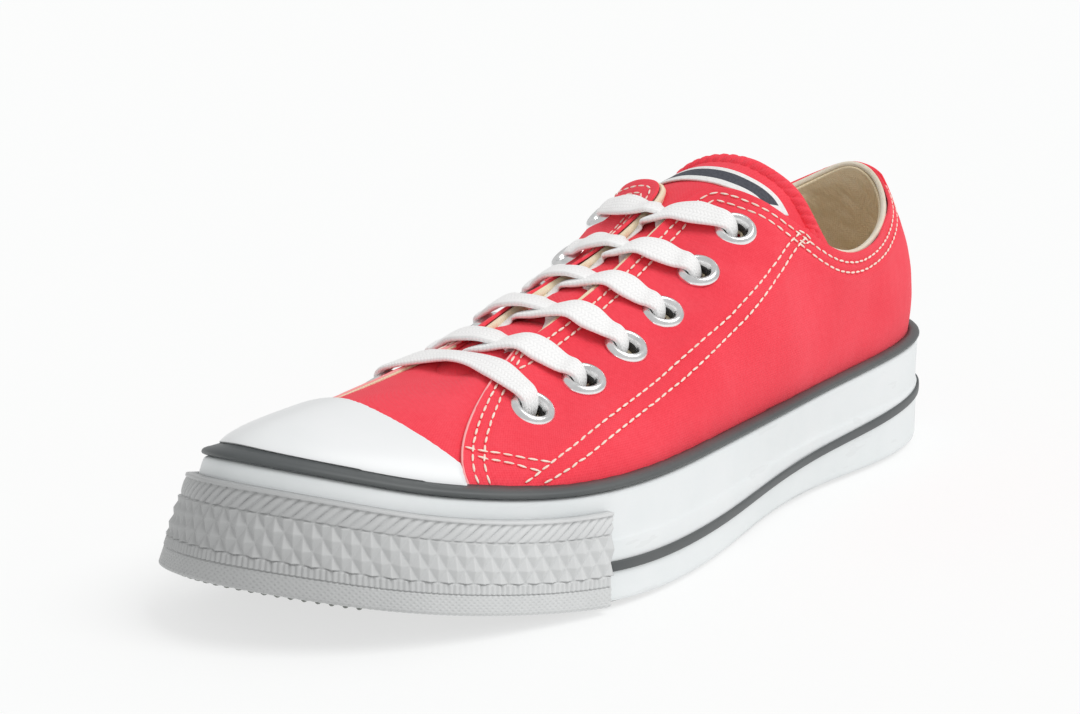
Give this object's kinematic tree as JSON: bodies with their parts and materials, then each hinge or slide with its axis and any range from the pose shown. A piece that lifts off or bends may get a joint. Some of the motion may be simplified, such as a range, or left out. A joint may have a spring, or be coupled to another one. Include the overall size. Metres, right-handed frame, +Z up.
{
  "type": "canvas sneaker, left",
  "caption": "Left low-top sneaker in red canvas with white rubber foxing, toe cap and toe bumper, dark lines, six pairs of eyelets and white flat laces.",
  "frame": {"origin": "middle of the shoe's footprint box, on the ground plane that the heel and the ball stand on", "axes": "+Z up, toe towards -Y, lateral side towards +X"},
  "size_m": [0.0982, 0.2768, 0.0887],
  "materials": {
    "white_rubber": "smooth satin",
    "grey_rubber": "textured satin",
    "dark_rubber": "smooth satin",
    "tread_rubber": "matt",
    "red_canvas": "woven, matt",
    "footbed_cloth": "woven, matt",
    "silver_metal": "polished",
    "white_lace": "woven, matt",
    "label_cloth": "woven, satin"
  },
  "bodies": {
    "root": {"outsole": "tread_rubber", "midsole": "white_rubber", "toe_bumper": "grey_rubber", "top_stripe": "dark_rubber", "lower_stripe": "dark_rubber", "upper": "red_canvas", "toe_cap": "white_rubber", "insole": "footbed_cloth", "tongue": "red_canvas", "tongue_label": "label_cloth", "eyelet_lateral_1": "silver_metal", "eyelet_lateral_2": "silver_metal", "eyelet_lateral_3": "silver_metal", "eyelet_lateral_4": "silver_metal", "eyelet_lateral_5": "silver_metal", "eyelet_lateral_6": "silver_metal", "eyelet_medial_1": "silver_metal", "eyelet_medial_2": "silver_metal", "eyelet_medial_3": "silver_metal", "eyelet_medial_4": "silver_metal", "eyelet_medial_5": "silver_metal", "eyelet_medial_6": "silver_metal", "lace_bar_1": "white_lace", "lace_cross_2": "white_lace", "lace_cross_3": "white_lace", "lace_cross_4": "white_lace", "lace_cross_5": "white_lace", "lace_cross_6": "white_lace"}
  },
  "joints": []
}
